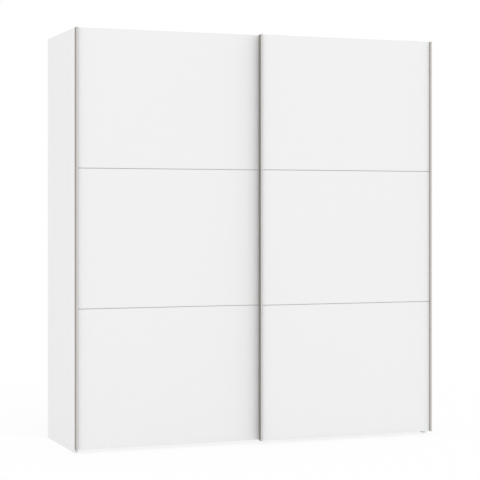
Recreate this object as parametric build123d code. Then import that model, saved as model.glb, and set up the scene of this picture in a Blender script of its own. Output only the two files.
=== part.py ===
from build123d import *

import os
from math import cos, pi

# Two-door sliding wardrobe with overlay doors, top-hung on rollers.
# Millimetres. +Z is up, the front faces -Y, and the origin is on the floor under the middle of the wardrobe.
# Each door hangs from two rollers in a two-lane track that lies on a lowered top panel. The hangers of the
# outer door pass over the top of the inner door, and its guides pass under the bottom of it.

# Overall size
WIDTH = 2000.0  # over the two side panels
HEIGHT = 2160.0  # floor to the top of the outer door's hangers
SIDE_DEPTH = 564.0  # front to back of a side panel

# Small turned pieces, and the holes that they sit in, are drawn with few sides to keep the model light
SIDES = 8
FIT = 0.1  # clearance round pieces that sit in holes and grooves

# Boards
BOARD = 16.0  # carcass boards
DOOR_BOARD = 16.0  # door panels
BACK_BOARD = 3.0  # hardboard back
EDGE_CHAMFER = 0.8  # broken edges of the edging on visible edges

# Carcass layout
GLIDE_HEIGHT = 2.5
GLIDE_DIAMETER = 14.0
GLIDE_INSET = 45.0  # from the front and back edges of a side panel
BASE_HEIGHT = 60.0  # floor to the underside of the bottom panel
TOP_RECESS = 60.0  # top of the sides down to the top panel
BACK_INSET = 10.0  # back edge of the sides to the back boards
BACK_GROOVE = 6.0  # depth of the groove that takes a back board
BACK_PLAY = 0.2  # clearance of a back board in its groove and in the joint strip
STRIP_FLANGE = 1.2
STRIP_WIDTH = 22.0
STRIP_WEB = 2.0
PARTITION_SETBACK = 5.0
PLINTH_SETBACK = 160.0  # front of the carcass to the front plinth
PLINTH_REAR_INSET = 40.0  # back boards to the rear plinth

# Cam fittings that join the boards
CAM_DIAMETER = 15.0
CAM_DEPTH = 12.5
CAM_REACH = 34.0  # end of a board to the cam's centre
CAM_SLOT = 3.0  # width and depth of the screwdriver slot
CAM_SLOT_LENGTH = 9.0
BOLT_DIAMETER = 7.0
BOLT_BITE = 11.0  # length screwed into the other board
CAM_INSET = 100.0  # front and back edges of a board to the cam rows

# Shelves and clothes rails
SHELF_DROP = 320.0  # underside of the top panel to the top of a hat shelf
SHELF_SETBACK = 25.0
SHELF_PLAY = 0.5
PIN_DIAMETER = 5.0
PIN_BITE = 7.5  # length in the board
PIN_REACH = 9.0  # length under the shelf
PIN_INSET = 60.0  # front and back edges of a shelf to its pins
RAIL_DROP = 60.0  # underside of the shelf to the middle of the rail
RAIL_HEIGHT = 30.0
RAIL_WIDTH = 15.0
RAIL_WALL = 1.2
SOCKET_BASE = 2.5
SOCKET_RIM = 8.0  # socket base beyond the rail, all round
SOCKET_WALL = 1.8
SOCKET_CUP = 10.0  # depth of the cradle that the rail sits in
SOCKET_PLAY = 0.2

# Doors
DOOR_OVERLAP = 23.0  # of the two closed doors
DOOR_FLOOR_GAP = 19.0
PANEL_LEVELS = ("lower", "middle", "upper")
PANEL_GAP = 3.0  # shadow groove between two door panels
GROOVE_DEPTH = 3.0  # face of the door to the strip in the groove
STRIP_BACK = 3.0  # back of the door to the same strip
CARCASS_GAP = 2.5  # inner door's grips to the carcass
PASSING_GAP = 6.5  # inner door's grips to the outer door's grips
FINGER_ROOM = 30.0  # left between the grips when a door is open

# Aluminium grip profile on the upright edges of a door
GRIP_WIDTH = 10.5
GRIP_PROUD = 12.0  # lip in front of the door panels
GRIP_BACK = 1.5  # flange behind the door panels
GRIP_FLANGE = 9.0  # width of that flange
GRIP_WALL = 1.3
GRIP_NOSE = 3.5  # depth of the lip's nose in front of the finger scoop
GRIP_NOSE_RADIUS = 1.5
GRIP_SCOOP = 2.4  # depth of the finger scoop
TONGUE = 3.0  # thickness of the tongues in the panel edges
TONGUE_LENGTH = 7.0
TONGUE_END_GAP = 0.5
CAP = 1.5  # end cap thickness
CAP_PLUG = 8.0
SEAL_WIDTH = 5.0
SEAL_CLEARANCE = 3.0  # pile of the dust seal to the inner door's grip

# Top track and rollers
LANE_INNER = 15.0  # front of the carcass to the middle of the inner door's lane
LANE_PITCH = 34.0  # inner lane to the outer door's lane
TRACK_WALL = 2.0
TRACK_HEIGHT = 8.0
TRACK_PLAY = 0.5  # wheel to the walls of its lane
RAIL_END_GAP = 1.0  # side panels to the ends of the track and the guide rail
WHEEL_RADIUS = 12.0
WHEEL_WIDTH = 10.0
WHEEL_GAP = 0.3  # wheel to the floor of its lane
AXLE_RADIUS = 3.0
AXLE_CLEARANCE = 0.05
AXLE_SHOULDER_RADIUS = 5.0
AXLE_PLAY = 0.3  # wheel to the shoulder and to the head
AXLE_HEAD = 2.0
REAR_SHOULDER = 3.0  # outer hanger's rear leg to the shoulder's end

# Hangers, bent from steel strip
HANGER_STEEL = 2.0
HANGER_GAP = 1.0  # strip to the edge of the inner door that it passes
HANGER_BEND = 2.5  # inside radius
HANGER_LENGTH = 90.0
HANGER_INSET = 120.0  # edge of the door to the middle of a hanger
HANGER_BELOW = 40.0  # axle to the lower edge of the hanger's plate
HANGER_ABOVE = 24.0  # axle to the upper edge of the inner hanger
HANGER_REAR_BELOW = 9.0  # axle to the lower edge of the outer hanger's rear leg
HANGER_CORNER = 5.0
SCREW_SPREAD = 64.0  # between the two screws of a hanger or guide bracket
SCREW_DROP = 30.0  # axle to the hanger's screws
SCREW_RADIUS = 2.0
SCREW_LENGTH = 13.0
STOP_LENGTH = 24.0
STOP_RISE = 5.0  # axle to the top of a stop
STOP_GAP = 1.0  # wheel to stop at the end of the travel

# Bottom guide rail, brackets and sliders
GUIDE_WALL = 2.0
GUIDE_HEIGHT = 16.0
GUIDE_CHANNEL = 12.0  # inside width of a channel
GUIDE_PLAY = 0.3  # slider to the channel's walls
GUIDE_TOP_GAP = 2.0  # slider to the channel's roof
GUIDE_DROP = 6.0  # rail to the bracket's tab under it
GUIDE_LENGTH = 80.0
GUIDE_PLATE = 44.0  # height of a bracket's plate
GUIDE_SCREW_RISE = 30.0  # foot of a plate to its screws
SLIDER_LENGTH = 34.0
SLIDER_CORNER = 3.0
TAB_MARGIN = 2.0  # bracket's tab beyond the slider

# Wall brackets
BRACKET_STEEL = 2.0
BRACKET_WIDTH = 24.0
BRACKET_FOOT = 45.0
BRACKET_RISE = 40.0
BRACKET_HOLE_RADIUS = 3.0
BRACKET_HOLE_RISE = 24.0  # top panel to the hole
BRACKET_X = 700.0  # middle of the wardrobe to a bracket

# Levels worked out from the sizes above
PROFILE_DEPTH = GRIP_PROUD + DOOR_BOARD + GRIP_BACK
DOOR_PITCH = PROFILE_DEPTH + PASSING_GAP
DEPTH = SIDE_DEPTH + CARCASS_GAP + PROFILE_DEPTH + DOOR_PITCH
BACK_Y = DEPTH / 2
FRONT_Y = BACK_Y - SIDE_DEPTH
INNER_FACE_Y = FRONT_Y - CARCASS_GAP - GRIP_BACK - DOOR_BOARD
OUTER_FACE_Y = INNER_FACE_Y - DOOR_PITCH
BACK_FACE_Y = BACK_Y - BACK_INSET - BACK_BOARD
SHELF_FRONT_Y = FRONT_Y + SHELF_SETBACK
SHELF_BACK_Y = BACK_FACE_Y - STRIP_FLANGE - SHELF_PLAY
SIDE_X = WIDTH / 2 - BOARD
TOP_Z = HEIGHT - HANGER_STEEL - HANGER_GAP
TOP_PANEL_Z = TOP_Z - TOP_RECESS
CEILING_Z = TOP_PANEL_Z - BOARD
FLOOR_Z = BASE_HEIGHT + BOARD
SHELF_Z = CEILING_Z - SHELF_DROP - BOARD
RAIL_Z = SHELF_Z - RAIL_DROP
DOOR_WIDTH = WIDTH / 2 + DOOR_OVERLAP / 2
DOOR_HEIGHT = TOP_Z - DOOR_FLOOR_GAP
PANEL_WIDTH = DOOR_WIDTH - 2 * GRIP_WIDTH
PANELS = len(PANEL_LEVELS)
PANEL_HEIGHT = (DOOR_HEIGHT - (PANELS - 1) * PANEL_GAP) / PANELS
TRAVEL = WIDTH / 2 - DOOR_OVERLAP / 2 - GRIP_WIDTH - FINGER_ROOM
AXLE_Z = TOP_PANEL_Z + TRACK_WALL + WHEEL_GAP + WHEEL_RADIUS
INNER_LANE_Y = FRONT_Y + LANE_INNER
OUTER_LANE_Y = INNER_LANE_Y + LANE_PITCH
TRACK_LANE = WHEEL_WIDTH + 2 * TRACK_PLAY
TAB_Z = BASE_HEIGHT - GUIDE_HEIGHT - GUIDE_DROP

nodes = {}


def block(x, y, z):
    """A box from its lowest and highest X, Y and Z."""
    size = (x[1] - x[0], y[1] - y[0], z[1] - z[0])
    return Pos(x[0], y[0], z[0]) * Box(*size, align=(Align.MIN,) * 3)


def peg(radius, start, end):
    """A small turned piece, or its hole, between two points."""
    axis = Vector(*end) - Vector(*start)
    plane = Plane(origin=start, z_dir=axis)
    return extrude(plane * RegularPolygon(radius, SIDES), axis.length)


def across(radius, length):
    """A round rod along Y, centred on the origin."""
    return Rot(90, 0, 0) * Cylinder(radius, length)


def front_edges(board):
    return board.faces().sort_by(Axis.Y)[0].edges()


def soften(edges):
    """Break edges of a board, as its edging is trimmed."""
    return chamfer(edges, EDGE_CHAMFER)


def group(pieces):
    return Compound(children=list(pieces))


def mirrored(shape):
    return mirror(shape, about=Plane.YZ)


# Cam fittings: a bolt screwed into one board and drawn in by a cam in the end of another. The fitting's frame
# has the end of the board at x = 0, the board towards +x and the face that the cam enters at z = -BOARD / 2.
CAM_FACE = (CAM_REACH, 0, -BOARD / 2)
CAM_FLOOR = (CAM_REACH, 0, CAM_DEPTH - BOARD / 2)
BOLT_START = (-BOLT_BITE, 0, 0)
BOLT_END = (CAM_REACH + BOLT_DIAMETER / 2, 0, 0)


def cam_lock():
    slot = Pos(*CAM_FACE) * Box(CAM_SLOT_LENGTH, CAM_SLOT, 2 * CAM_SLOT)
    throat = peg(BOLT_DIAMETER / 2 + FIT, BOLT_START, BOLT_END)
    return peg(CAM_DIAMETER / 2 - FIT, CAM_FACE, CAM_FLOOR) - slot - throat


def cam_bolt():
    return peg(BOLT_DIAMETER / 2, BOLT_START, BOLT_END)


def cam_bores():
    bolt_bore = peg(BOLT_DIAMETER / 2 + FIT, BOLT_START, (CAM_REACH, 0, 0))
    return peg(CAM_DIAMETER / 2, CAM_FACE, CAM_FLOOR) + bolt_bore


cam_rows = (FRONT_Y + CAM_INSET, BACK_FACE_Y - CAM_INSET)
panel_ends = [
    Location((side * SIDE_X, y, z), (0, 0, 90 + side * 90))
    for z in (CEILING_Z + BOARD / 2, BASE_HEIGHT + BOARD / 2)
    for side in (-1, 1)
    for y in cam_rows
]
partition_ends = [Location((0, y, CEILING_Z), (0, 90, 0)) for y in cam_rows]
partition_ends += [Location((0, y, FLOOR_Z), (0, -90, 0)) for y in cam_rows]
cam_places = panel_ends + partition_ends
all_bores = [place * cam_bores() for place in cam_places]
nodes["cam_locks"] = group(place * cam_lock() for place in cam_places)
nodes["cam_bolts"] = group(place * cam_bolt() for place in cam_places)

# Shelf pins, and the holes that they plug into
pin_columns = (SHELF_FRONT_Y + PIN_INSET, SHELF_BACK_Y - PIN_INSET)
pin_z = SHELF_Z - PIN_DIAMETER / 2
pins = [
    peg(PIN_DIAMETER / 2, (wall - inward * PIN_BITE, y, pin_z), (wall + inward * PIN_REACH, y, pin_z))
    for wall, inward in ((-SIDE_X, 1), (-BOARD / 2, -1), (BOARD / 2, 1), (SIDE_X, -1))
    for y in pin_columns
]
nodes["shelf_pins"] = group(pins)


def pin_holes(start, end):
    """Holes for the pins between two X positions."""
    return [peg(PIN_DIAMETER / 2 + FIT, (start, y, pin_z), (end, y, pin_z)) for y in pin_columns]


# Side panels, with a groove for the back board
def side_panel():
    """The left side panel."""
    board = block((-WIDTH / 2, -SIDE_X), (FRONT_Y, BACK_Y), (GLIDE_HEIGHT, TOP_Z))
    board = soften(front_edges(board).filter_by(Axis.Z))
    groove = block(
        (-SIDE_X - BACK_GROOVE, -SIDE_X),
        (BACK_FACE_Y - BACK_PLAY, BACK_FACE_Y + BACK_BOARD + BACK_PLAY),
        (GLIDE_HEIGHT, TOP_Z),
    )
    return board - groove - pin_holes(-SIDE_X - PIN_BITE, -SIDE_X) - all_bores


nodes["left_side_panel"] = side_panel()
nodes["right_side_panel"] = mirrored(side_panel())


# Top and bottom panels and the partition between them
def cross_panel(z):
    board = block((-SIDE_X, SIDE_X), (FRONT_Y, BACK_FACE_Y), (z, z + BOARD))
    return soften(front_edges(board).filter_by(Axis.X)) - all_bores


nodes["top_panel"] = cross_panel(CEILING_Z)
nodes["bottom_panel"] = cross_panel(BASE_HEIGHT)

partition = block(
    (-BOARD / 2, BOARD / 2),
    (FRONT_Y + PARTITION_SETBACK, BACK_FACE_Y - STRIP_FLANGE),
    (FLOOR_Z, CEILING_Z),
)
partition = soften(front_edges(partition).filter_by(Axis.Z))
nodes["centre_partition"] = partition - pin_holes(-BOARD / 2, BOARD / 2) - all_bores

# Base: two plinths between the sides, a bearer under the partition, and glides
plinth_y = FRONT_Y + PLINTH_SETBACK
rear_plinth_y = BACK_FACE_Y - PLINTH_REAR_INSET - BOARD
base_z = (GLIDE_HEIGHT, BASE_HEIGHT)
nodes["plinth_front"] = block((-SIDE_X, SIDE_X), (plinth_y, plinth_y + BOARD), base_z)
nodes["plinth_rear"] = block((-SIDE_X, SIDE_X), (rear_plinth_y, rear_plinth_y + BOARD), base_z)
nodes["base_bearer"] = block((-BOARD / 2, BOARD / 2), (plinth_y + BOARD, rear_plinth_y), base_z)

glide_spots = [
    (side * (WIDTH - BOARD) / 2, y)
    for side in (-1, 1)
    for y in (FRONT_Y + GLIDE_INSET, BACK_Y - GLIDE_INSET)
]
glide_spots += [(0, plinth_y + BOARD + GLIDE_INSET), (0, rear_plinth_y - GLIDE_INSET)]
nodes["floor_glides"] = group(
    peg(GLIDE_DIAMETER / 2, (x, y, 0), (x, y, GLIDE_HEIGHT)) for x, y in glide_spots
)


# Back: two hardboards in the side grooves, joined behind the partition by an H strip
def back_board():
    """The left back board."""
    return block(
        (-SIDE_X - BACK_GROOVE + BACK_PLAY, -STRIP_WEB / 2),
        (BACK_FACE_Y, BACK_FACE_Y + BACK_BOARD),
        (BASE_HEIGHT, TOP_PANEL_Z),
    )


nodes["back_board_left"] = back_board()
nodes["back_board_right"] = mirrored(back_board())

strip_z = (FLOOR_Z, CEILING_Z)
strip_x = (-STRIP_WIDTH / 2, STRIP_WIDTH / 2)
back_of_boards = BACK_FACE_Y + BACK_BOARD
nodes["back_joint_strip"] = (
    block(strip_x, (BACK_FACE_Y - STRIP_FLANGE, BACK_FACE_Y), strip_z)
    + block((-STRIP_WEB / 2, STRIP_WEB / 2), (BACK_FACE_Y, back_of_boards), strip_z)
    + block(strip_x, (back_of_boards, back_of_boards + STRIP_FLANGE), strip_z)
)


# Hat shelves and clothes rails
def hat_shelf():
    """The left shelf, lying on its four pins."""
    board = block(
        (-SIDE_X + SHELF_PLAY, -BOARD / 2 - SHELF_PLAY),
        (SHELF_FRONT_Y, SHELF_BACK_Y),
        (SHELF_Z, SHELF_Z + BOARD),
    )
    return soften(front_edges(board).filter_by(Axis.X))


nodes["left_hat_shelf"] = hat_shelf()
nodes["right_hat_shelf"] = mirrored(hat_shelf())

rail_y = (FRONT_Y + BACK_FACE_Y) / 2


def rail_section(x, margin):
    """The rail's oval, widened all round by a margin, on a plane across X."""
    plane = Plane(origin=(x, rail_y, RAIL_Z), x_dir=(0, 0, 1), z_dir=(1, 0, 0))
    return plane * SlotOverall(RAIL_HEIGHT + 2 * margin, RAIL_WIDTH + 2 * margin)


def clothes_rail():
    """The left rail, an oval tube from socket to socket."""
    start = -SIDE_X + SOCKET_BASE
    length = -BOARD / 2 - SOCKET_BASE - start
    return extrude(rail_section(start, 0) - rail_section(start, -RAIL_WALL), length)


def rail_socket():
    """A socket on the left side panel: a square flange with a cradle that the rail is dropped into."""
    start = -SIDE_X + SOCKET_BASE
    half_width = RAIL_WIDTH / 2 + SOCKET_RIM
    half_height = RAIL_HEIGHT / 2 + SOCKET_RIM
    width = (rail_y - half_width, rail_y + half_width)
    flange = block((-SIDE_X, start), width, (RAIL_Z - half_height, RAIL_Z + half_height))
    ring = rail_section(start, SOCKET_PLAY + SOCKET_WALL) - rail_section(start, SOCKET_PLAY)
    cradle_top = RAIL_Z + (RAIL_HEIGHT - RAIL_WIDTH) / 2
    mouth = block((start, start + SOCKET_CUP), width, (cradle_top, RAIL_Z + half_height))
    return flange + (extrude(ring, SOCKET_CUP) - mouth)


nodes["left_clothes_rail"] = clothes_rail()
nodes["right_clothes_rail"] = mirrored(clothes_rail())
left_sockets = [rail_socket(), Pos(-SIDE_X - BOARD / 2, 0, 0) * mirrored(rail_socket())]
nodes["rail_sockets"] = group(left_sockets + [mirrored(socket) for socket in left_sockets])


# Top track and bottom guide rail: two-lane aluminium extrusions, on the top panel and under the bottom panel
def two_lanes(lane, wall, height):
    """A section standing on y = 0, with a lane for each door open at the top."""
    upwards = (Align.CENTER, Align.MIN)
    with BuildSketch() as section:
        Rectangle(LANE_PITCH + lane + 2 * wall, height, align=upwards)
        with Locations((-LANE_PITCH / 2, wall), (LANE_PITCH / 2, wall)):
            Rectangle(lane, height, align=upwards, mode=Mode.SUBTRACT)
        with Locations((0, wall)):
            Rectangle(LANE_PITCH - lane - 2 * wall, height, align=upwards, mode=Mode.SUBTRACT)
    return section.sketch


rail_end = SIDE_X - RAIL_END_GAP
lanes_y = (INNER_LANE_Y + OUTER_LANE_Y) / 2
track_plane = Plane(origin=(-rail_end, lanes_y, TOP_PANEL_Z), x_dir=(0, 1, 0), z_dir=(1, 0, 0))
guide_plane = Plane(origin=(rail_end, lanes_y, BASE_HEIGHT), x_dir=(0, 1, 0), z_dir=(-1, 0, 0))
track_section = two_lanes(TRACK_LANE, TRACK_WALL, TRACK_HEIGHT)
guide_section = two_lanes(GUIDE_CHANNEL, GUIDE_WALL, GUIDE_HEIGHT)
nodes["top_track"] = extrude(track_plane * track_section, 2 * rail_end)
nodes["guide_rail"] = extrude(guide_plane * guide_section, 2 * rail_end)


# Rubber end stops in the lanes, one at each end of each door's run
def track_stop(x, lane):
    half_width = TRACK_LANE / 2 - FIT
    return block(
        (x, x + STOP_LENGTH),
        (lane - half_width, lane + half_width),
        (TOP_PANEL_Z + TRACK_WALL, AXLE_Z + STOP_RISE),
    )


wheel_reach = WHEEL_RADIUS + STOP_GAP
closed_stop = -WIDTH / 2 + HANGER_INSET - wheel_reach - STOP_LENGTH
open_stop = DOOR_OVERLAP / 2 - HANGER_INSET + TRAVEL + wheel_reach
inner_stops = [track_stop(x, INNER_LANE_Y) for x in (closed_stop, open_stop)]
outer_stops = [mirrored(track_stop(x, OUTER_LANE_Y)) for x in (closed_stop, open_stop)]
nodes["track_stops"] = group(inner_stops + outer_stops)


# Angle brackets that hold the wardrobe to the wall
def wall_bracket(x):
    width = (x - BRACKET_WIDTH / 2, x + BRACKET_WIDTH / 2)
    foot = block(width, (BACK_Y - BRACKET_FOOT, BACK_Y), (TOP_PANEL_Z, TOP_PANEL_Z + BRACKET_STEEL))
    upright = block(width, (BACK_Y - BRACKET_STEEL, BACK_Y), (TOP_PANEL_Z, TOP_PANEL_Z + BRACKET_RISE))
    hole = Pos(x, BACK_Y, TOP_PANEL_Z + BRACKET_HOLE_RISE) * across(BRACKET_HOLE_RADIUS, 2 * BRACKET_STEEL)
    return foot + upright - hole


nodes["wall_brackets"] = group(wall_bracket(side * BRACKET_X) for side in (-1, 1))


# Doors. Each is built in its own frame: x = 0 at its left edge, y = 0 at the face of its panels, z = 0 at its
# lower edge.
HANGER_SPOTS = (HANGER_INSET, DOOR_WIDTH - HANGER_INSET)
AXLE_RISE = AXLE_Z - DOOR_FLOOR_GAP
TAB_RISE = TAB_Z - DOOR_FLOOR_GAP
PLATE_Y = DOOR_BOARD + HANGER_STEEL / 2
TONGUE_Y = (DOOR_BOARD / 2 - TONGUE / 2, DOOR_BOARD / 2 + TONGUE / 2)
TONGUE_SLOT_Y = (TONGUE_Y[0] - FIT, TONGUE_Y[1] + FIT)
TONGUE_SLOT = TONGUE_LENGTH + TONGUE_END_GAP
PANEL_X = (GRIP_WIDTH, GRIP_WIDTH + PANEL_WIDTH)


def screw_spots(z):
    return [(spot + way * SCREW_SPREAD / 2, z) for spot in HANGER_SPOTS for way in (-1, 1)]


SCREW_SPOTS = screw_spots(AXLE_RISE - SCREW_DROP) + screw_spots(TAB_RISE + GUIDE_SCREW_RISE)


def screw_head(x, z):
    """The countersunk head, flush in the steel strip and as deep as it, narrowing to the shank's width."""
    top = DOOR_BOARD + HANGER_STEEL
    rim = SCREW_RADIUS + HANGER_STEEL / cos(pi / SIDES)
    blank = peg(rim, (x, top + HANGER_STEEL, z), (x, DOOR_BOARD, z))
    cone = chamfer(blank.edges().group_by(Axis.Y)[0], HANGER_STEEL)
    return split(cone, Plane.XZ.offset(-top))


def screw_shank(x, z, radius):
    return peg(radius, (x, DOOR_BOARD, z), (x, DOOR_BOARD + HANGER_STEEL - SCREW_LENGTH, z))


def door_panel(index):
    low = index * (PANEL_HEIGHT + PANEL_GAP)
    high = low + PANEL_HEIGHT
    board = soften(front_edges(block(PANEL_X, (0, DOOR_BOARD), (low, high))))
    cuts = [
        block((PANEL_X[0], PANEL_X[0] + TONGUE_SLOT), TONGUE_SLOT_Y, (low, high)),
        block((PANEL_X[1] - TONGUE_SLOT, PANEL_X[1]), TONGUE_SLOT_Y, (low, high)),
    ]
    if index > 0:
        cuts.append(block(PANEL_X, TONGUE_SLOT_Y, (low, low + TONGUE_SLOT)))
    if index < PANELS - 1:
        cuts.append(block(PANEL_X, TONGUE_SLOT_Y, (high - TONGUE_SLOT, high)))
    cuts += [screw_shank(x, z, SCREW_RADIUS + FIT) for x, z in SCREW_SPOTS]
    return board - cuts


def joint_strip(index):
    """The strip in the groove above a panel, with a tongue into each of the two panels."""
    low = (index + 1) * PANEL_HEIGHT + index * PANEL_GAP
    high = low + PANEL_GAP
    bead = block(PANEL_X, (GROOVE_DEPTH, DOOR_BOARD - STRIP_BACK), (low, high))
    for x in ((PANEL_X[0], PANEL_X[0] + TONGUE_SLOT), (PANEL_X[1] - TONGUE_SLOT, PANEL_X[1])):
        bead -= block(x, TONGUE_SLOT_Y, (low, high))
    tongue_x = (PANEL_X[0] + TONGUE_SLOT, PANEL_X[1] - TONGUE_SLOT)
    return bead + block(tongue_x, TONGUE_Y, (low - TONGUE_LENGTH, high + TONGUE_LENGTH))


# Grip profile: a hollow aluminium extrusion with a proud lip, a finger scoop behind the lip's nose, a flange
# behind the panels and a tongue in their edges
def grip_body():
    back = DOOR_BOARD + GRIP_BACK
    nose = GRIP_NOSE - GRIP_PROUD
    with BuildSketch() as body:
        with BuildLine():
            outline = Polyline(
                (GRIP_WIDTH, 0),
                (GRIP_WIDTH, back),
                (0, back),
                (0, -GRIP_PROUD),
                (GRIP_WIDTH, -GRIP_PROUD),
                (GRIP_WIDTH, nose),
            )
            ThreePointArc(outline @ 1, (GRIP_WIDTH - GRIP_SCOOP, nose / 2), outline @ 0)
        make_face()
        fillet(body.vertices().sort_by(Axis.Y)[:2], GRIP_NOSE_RADIUS)
    return body.sketch


def rectangle(x, y):
    return Pos(x[0], y[0]) * Rectangle(x[1] - x[0], y[1] - y[0], align=(Align.MIN, Align.MIN))


def grip_chamber(margin):
    """The hollow inside the profile, drawn in all round by a margin."""
    return rectangle(
        (GRIP_WALL + margin, GRIP_WIDTH - GRIP_SCOOP - GRIP_WALL - margin),
        (GRIP_WALL - GRIP_PROUD + margin, DOOR_BOARD + GRIP_BACK - GRIP_WALL - margin),
    )


def grip_profile():
    section = grip_body() - grip_chamber(0)
    section += rectangle((GRIP_WIDTH, GRIP_WIDTH + GRIP_FLANGE), (DOOR_BOARD, DOOR_BOARD + GRIP_BACK))
    section += rectangle((GRIP_WIDTH, GRIP_WIDTH + TONGUE_LENGTH), TONGUE_Y)
    return Pos(0, 0, CAP) * extrude(section, DOOR_HEIGHT - 2 * CAP)


def grip_caps():
    """The caps at the lower and upper end of a grip profile."""
    lower = extrude(grip_body(), CAP) + extrude(grip_chamber(FIT), CAP + CAP_PLUG)
    upper = Pos(0, 0, DOOR_HEIGHT) * mirror(lower, about=Plane.XY)
    return [lower, upper]


def other_edge(shape):
    """The same piece on the door's right edge."""
    return Pos(DOOR_WIDTH, 0, 0) * mirrored(shape)


# Steel strip, bent along a line of (y, z) points and lying across X
def bent_strip(points, spot, length):
    plane = Plane(origin=(spot - length / 2, 0, 0), x_dir=(0, 1, 0), z_dir=(1, 0, 0))
    with BuildSketch() as section:
        with BuildLine() as line:
            if len(points) > 2:
                FilletPolyline(*points, radius=HANGER_BEND + HANGER_STEEL / 2)
            else:
                Line(*points)
        trace(line.line, line_width=HANGER_STEEL)
    return extrude(plane * section.sketch, length)


def drilled(strip):
    """A strip with its countersunk holes and its end corners cut off."""
    corners = strip.edges().filter_by(Axis.Y).filter_by(lambda edge: edge.length < 2 * HANGER_STEEL)
    return chamfer(corners, HANGER_CORNER) - [screw_head(x, z) for x, z in SCREW_SPOTS]


def hanger(spot, lane, over):
    """A hanger for one wheel. Over the top of the inner door, it goes on to a leg in front of its wheel."""
    low = AXLE_RISE - HANGER_BELOW
    if over:
        top = DOOR_HEIGHT + HANGER_GAP + HANGER_STEEL / 2
        leg = axle_start(lane, over) - HANGER_STEEL / 2
        line = [(PLATE_Y, low), (PLATE_Y, top), (leg, top), (leg, AXLE_RISE - HANGER_REAR_BELOW)]
    else:
        line = [(PLATE_Y, low), (PLATE_Y, AXLE_RISE + HANGER_ABOVE)]
    seat = axle_start(lane, over)
    bore = peg(AXLE_RADIUS + FIT, (spot, seat - HANGER_STEEL, AXLE_RISE), (spot, seat, AXLE_RISE))
    return drilled(bent_strip(line, spot, HANGER_LENGTH)) - bore


def axle_start(lane, over):
    """Where an axle's shoulder stands on its hanger."""
    if over:
        return lane - WHEEL_WIDTH / 2 - AXLE_PLAY - REAR_SHOULDER
    return DOOR_BOARD + HANGER_STEEL


def axle(spot, lane, over):
    """A journal between a shoulder and a head, riveted into the hanger by a tenon."""
    start = axle_start(lane, over)
    front = lane - WHEEL_WIDTH / 2 - AXLE_PLAY
    back = lane + WHEEL_WIDTH / 2 + AXLE_PLAY
    core = peg(AXLE_RADIUS, (spot, start - HANGER_STEEL, AXLE_RISE), (spot, back, AXLE_RISE))
    shoulder = peg(AXLE_SHOULDER_RADIUS, (spot, start, AXLE_RISE), (spot, front, AXLE_RISE))
    head = peg(AXLE_SHOULDER_RADIUS, (spot, back, AXLE_RISE), (spot, back + AXLE_HEAD, AXLE_RISE))
    return core + shoulder + head


def wheel(spot, lane):
    """A nylon roller that runs in its lane of the track."""
    roller = across(WHEEL_RADIUS, WHEEL_WIDTH) - across(AXLE_RADIUS + AXLE_CLEARANCE, WHEEL_WIDTH)
    return Pos(spot, lane, AXLE_RISE) * roller


def guide_bracket(spot, lane, under):
    """A bracket with a slider's tab under the guide rail. The outer door's dips under the inner door."""
    plate_top = TAB_RISE + GUIDE_PLATE
    tab = TAB_RISE - HANGER_STEEL / 2
    tab_end = lane + GUIDE_CHANNEL / 2 + TAB_MARGIN
    line = [(PLATE_Y, plate_top), (PLATE_Y, tab), (tab_end, tab)]
    if under:
        dip = -HANGER_GAP - HANGER_STEEL / 2
        leg = lane - GUIDE_CHANNEL / 2 - HANGER_BEND - HANGER_STEEL
        line = [(PLATE_Y, plate_top), (PLATE_Y, dip), (leg, dip), (leg, tab), (tab_end, tab)]
    return drilled(bent_strip(line, spot, GUIDE_LENGTH))


def guide_slider(spot, lane):
    """A nylon block with its corners cut off, standing on a bracket's tab."""
    roof = BASE_HEIGHT - GUIDE_WALL - GUIDE_TOP_GAP
    width = GUIDE_CHANNEL - 2 * GUIDE_PLAY
    body = Box(SLIDER_LENGTH, width, roof - TAB_Z, align=(Align.CENTER, Align.CENTER, Align.MIN))
    return Pos(spot, lane, TAB_RISE) * chamfer(body.edges().filter_by(Axis.Z), SLIDER_CORNER)


def add_door(name, left_edge, face, lane, outer):
    """Put a door's pieces in place as nodes. The outer door's gear passes over and under the inner door."""
    place = Pos(left_edge, face, DOOR_FLOOR_GAP)
    lane -= face
    pieces = {}
    for index, level in enumerate(PANEL_LEVELS):
        pieces[f"panel_{level}"] = door_panel(index)
    pieces["joint_strips"] = group(joint_strip(index) for index in range(PANELS - 1))
    pieces["grip_left"] = grip_profile()
    pieces["grip_right"] = other_edge(grip_profile())
    pieces["grip_caps"] = group(grip_caps() + [other_edge(cap) for cap in grip_caps()])
    for end, spot in zip(("left", "right"), HANGER_SPOTS):
        pieces[f"hanger_{end}"] = hanger(spot, lane, outer)
        pieces[f"wheel_{end}"] = wheel(spot, lane)
        pieces[f"guide_{end}"] = guide_bracket(spot, lane, outer)
    pieces["axles"] = group(axle(spot, lane, outer) for spot in HANGER_SPOTS)
    pieces["guide_sliders"] = group(guide_slider(spot, lane) for spot in HANGER_SPOTS)
    pieces["screws"] = group(screw_head(x, z) + screw_shank(x, z, SCREW_RADIUS) for x, z in SCREW_SPOTS)
    if outer:
        seal_x = ((GRIP_WIDTH - SEAL_WIDTH) / 2, (GRIP_WIDTH + SEAL_WIDTH) / 2)
        seal_y = DOOR_BOARD + GRIP_BACK
        seal_z = (CAP, DOOR_HEIGHT - CAP)
        pieces["dust_seal"] = block(seal_x, (seal_y, seal_y + PASSING_GAP - SEAL_CLEARANCE), seal_z)
    for piece, shape in pieces.items():
        nodes[f"{name}_{piece}"] = place * shape


add_door("left_door", -WIDTH / 2, INNER_FACE_Y, INNER_LANE_Y, outer=False)
add_door("right_door", -DOOR_OVERLAP / 2, OUTER_FACE_Y, OUTER_LANE_Y, outer=True)

os.makedirs("parts", exist_ok=True)
for node, shape in nodes.items():
    export_step(shape, f"parts/{node}.step")
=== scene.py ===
import math

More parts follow.
